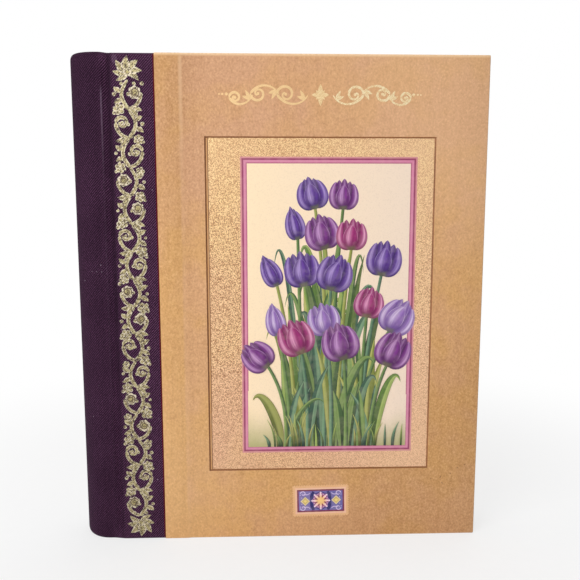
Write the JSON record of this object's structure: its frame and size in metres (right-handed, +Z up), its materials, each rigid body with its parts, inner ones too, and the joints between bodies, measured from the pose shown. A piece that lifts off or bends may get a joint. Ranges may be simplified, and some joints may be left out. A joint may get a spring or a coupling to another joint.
{
  "type": "address book",
  "caption": "Upright quarter-cloth hardcover address book with a rounded spine, hinged covers, a pressed-in cover panel, and tabbed dividers and ruled leaves that fan open.",
  "frame": {"origin": "middle of the closed book's footprint, on the surface it stands on", "axes": "+Z up along the spine, the front cover faces -Y, the spine is at -X and the fore edge at +X"},
  "size_m": [0.17, 0.025, 0.203],
  "materials": {
    "board": "matte",
    "book_cloth": "matte",
    "cover_paper": "satin",
    "endpaper": "matte",
    "inlay_card": "matte",
    "leaf_paper": "matte",
    "divider_card": "matte",
    "mull_gauze": "matte",
    "liner_paper": "matte",
    "band_thread": "matte"
  },
  "bodies": {
    "binding": {"spine_cloth": "book_cloth", "spine_inlay": "inlay_card", "front_joint_cloth": "book_cloth", "back_joint_cloth": "book_cloth", "front_endpaper_fold": "endpaper", "back_endpaper_fold": "endpaper", "section_folds": "leaf_paper", "mull": "mull_gauze", "spine_liner": "liner_paper", "head_band": "band_thread", "tail_band": "band_thread"},
    "front_cover": {"front_board": "board", "front_cloth": "book_cloth", "front_paper": "cover_paper", "front_pastedown": "endpaper"},
    "back_cover": {"back_board": "board", "back_cloth": "book_cloth", "back_paper": "cover_paper", "back_pastedown": "endpaper"},
    "front_flyleaf": {"front_flyleaf": "endpaper"},
    "back_flyleaf": {"back_flyleaf": "endpaper"},
    "section_ab": {"divider_ab": "divider_card", "leaves_ab": "leaf_paper"},
    "section_cd": {"divider_cd": "divider_card", "leaves_cd": "leaf_paper"},
    "section_ef": {"divider_ef": "divider_card", "leaves_ef": "leaf_paper"},
    "section_gh": {"divider_gh": "divider_card", "leaves_gh": "leaf_paper"},
    "section_ij": {"divider_ij": "divider_card", "leaves_ij": "leaf_paper"},
    "section_kl": {"divider_kl": "divider_card", "leaves_kl": "leaf_paper"},
    "section_mn": {"divider_mn": "divider_card", "leaves_mn": "leaf_paper"},
    "section_op": {"divider_op": "divider_card", "leaves_op": "leaf_paper"},
    "section_qr": {"divider_qr": "divider_card", "leaves_qr": "leaf_paper"},
    "section_st": {"divider_st": "divider_card", "leaves_st": "leaf_paper"},
    "section_uv": {"divider_uv": "divider_card", "leaves_uv": "leaf_paper"},
    "section_wz": {"divider_wz": "divider_card", "leaves_wz": "leaf_paper"}
  },
  "joints": [
    {"name": "front_cover_hinge", "type": "hinge", "parent": "binding", "child": "front_cover", "pos_m": [-0.069, -0.0131, 0.1015], "axis": [0, 0, -1], "range_deg": [0, 175], "deforming": ["front_joint_cloth", "front_endpaper_fold"]},
    {"name": "back_cover_hinge", "type": "hinge", "parent": "binding", "child": "back_cover", "pos_m": [-0.069, 0.0131, 0.1015], "axis": [0, 0, 1], "range_deg": [0, 175], "deforming": ["back_joint_cloth", "back_endpaper_fold"]},
    {"name": "front_flyleaf_turn", "type": "hinge", "parent": "binding", "child": "front_flyleaf", "pos_m": [-0.069, -0.0131, 0.1015], "axis": [0, 0, -1], "range_deg": [0, 168.5]},
    {"name": "section_ab_turn", "type": "hinge", "parent": "binding", "child": "section_ab", "pos_m": [-0.069, -0.0131, 0.1015], "axis": [0, 0, -1], "range_deg": [0, 158]},
    {"name": "section_cd_turn", "type": "hinge", "parent": "binding", "child": "section_cd", "pos_m": [-0.069, -0.0131, 0.1015], "axis": [0, 0, -1], "range_deg": [0, 144.6]},
    {"name": "section_ef_turn", "type": "hinge", "parent": "binding", "child": "section_ef", "pos_m": [-0.069, -0.0131, 0.1015], "axis": [0, 0, -1], "range_deg": [0, 131.3]},
    {"name": "section_gh_turn", "type": "hinge", "parent": "binding", "child": "section_gh", "pos_m": [-0.069, -0.0131, 0.1015], "axis": [0, 0, -1], "range_deg": [0, 117.9]},
    {"name": "section_ij_turn", "type": "hinge", "parent": "binding", "child": "section_ij", "pos_m": [-0.069, -0.0131, 0.1015], "axis": [0, 0, -1], "range_deg": [0, 104.5]},
    {"name": "section_kl_turn", "type": "hinge", "parent": "binding", "child": "section_kl", "pos_m": [-0.069, -0.0131, 0.1015], "axis": [0, 0, -1], "range_deg": [0, 91.2]},
    {"name": "section_mn_turn", "type": "hinge", "parent": "binding", "child": "section_mn", "pos_m": [-0.069, -0.0131, 0.1015], "axis": [0, 0, -1], "range_deg": [0, 77.8]},
    {"name": "section_op_turn", "type": "hinge", "parent": "binding", "child": "section_op", "pos_m": [-0.069, -0.0131, 0.1015], "axis": [0, 0, -1], "range_deg": [0, 64.5]},
    {"name": "section_qr_turn", "type": "hinge", "parent": "binding", "child": "section_qr", "pos_m": [-0.069, -0.0131, 0.1015], "axis": [0, 0, -1], "range_deg": [0, 51.1]},
    {"name": "section_st_turn", "type": "hinge", "parent": "binding", "child": "section_st", "pos_m": [-0.069, -0.0131, 0.1015], "axis": [0, 0, -1], "range_deg": [0, 37.7]},
    {"name": "section_uv_turn", "type": "hinge", "parent": "binding", "child": "section_uv", "pos_m": [-0.069, -0.0131, 0.1015], "axis": [0, 0, -1], "range_deg": [0, 24.4]},
    {"name": "section_wz_turn", "type": "hinge", "parent": "binding", "child": "section_wz", "pos_m": [-0.069, -0.0131, 0.1015], "axis": [0, 0, -1], "range_deg": [0, 11]},
    {"name": "back_flyleaf_turn", "type": "hinge", "parent": "binding", "child": "back_flyleaf", "pos_m": [-0.069, 0.0131, 0.1015], "axis": [0, 0, 1], "range_deg": [0, 105.5]}
  ],
  "couplings": [
    {"joint": "front_flyleaf_turn", "follows": "front_cover_hinge", "ratio": 0.96},
    {"joint": "section_ab_turn", "follows": "front_cover_hinge", "ratio": 0.9},
    {"joint": "section_cd_turn", "follows": "front_cover_hinge", "ratio": 0.8236},
    {"joint": "section_ef_turn", "follows": "front_cover_hinge", "ratio": 0.7473},
    {"joint": "section_gh_turn", "follows": "front_cover_hinge", "ratio": 0.6709},
    {"joint": "section_ij_turn", "follows": "front_cover_hinge", "ratio": 0.5945},
    {"joint": "section_kl_turn", "follows": "front_cover_hinge", "ratio": 0.5182},
    {"joint": "section_mn_turn", "follows": "front_cover_hinge", "ratio": 0.4418},
    {"joint": "section_op_turn", "follows": "front_cover_hinge", "ratio": 0.3655},
    {"joint": "section_qr_turn", "follows": "front_cover_hinge", "ratio": 0.2891},
    {"joint": "section_st_turn", "follows": "front_cover_hinge", "ratio": 0.2127},
    {"joint": "section_uv_turn", "follows": "front_cover_hinge", "ratio": 0.1364},
    {"joint": "section_wz_turn", "follows": "front_cover_hinge", "ratio": 0.06},
    {"joint": "back_flyleaf_turn", "follows": "back_cover_hinge", "ratio": 0.6}
  ]
}
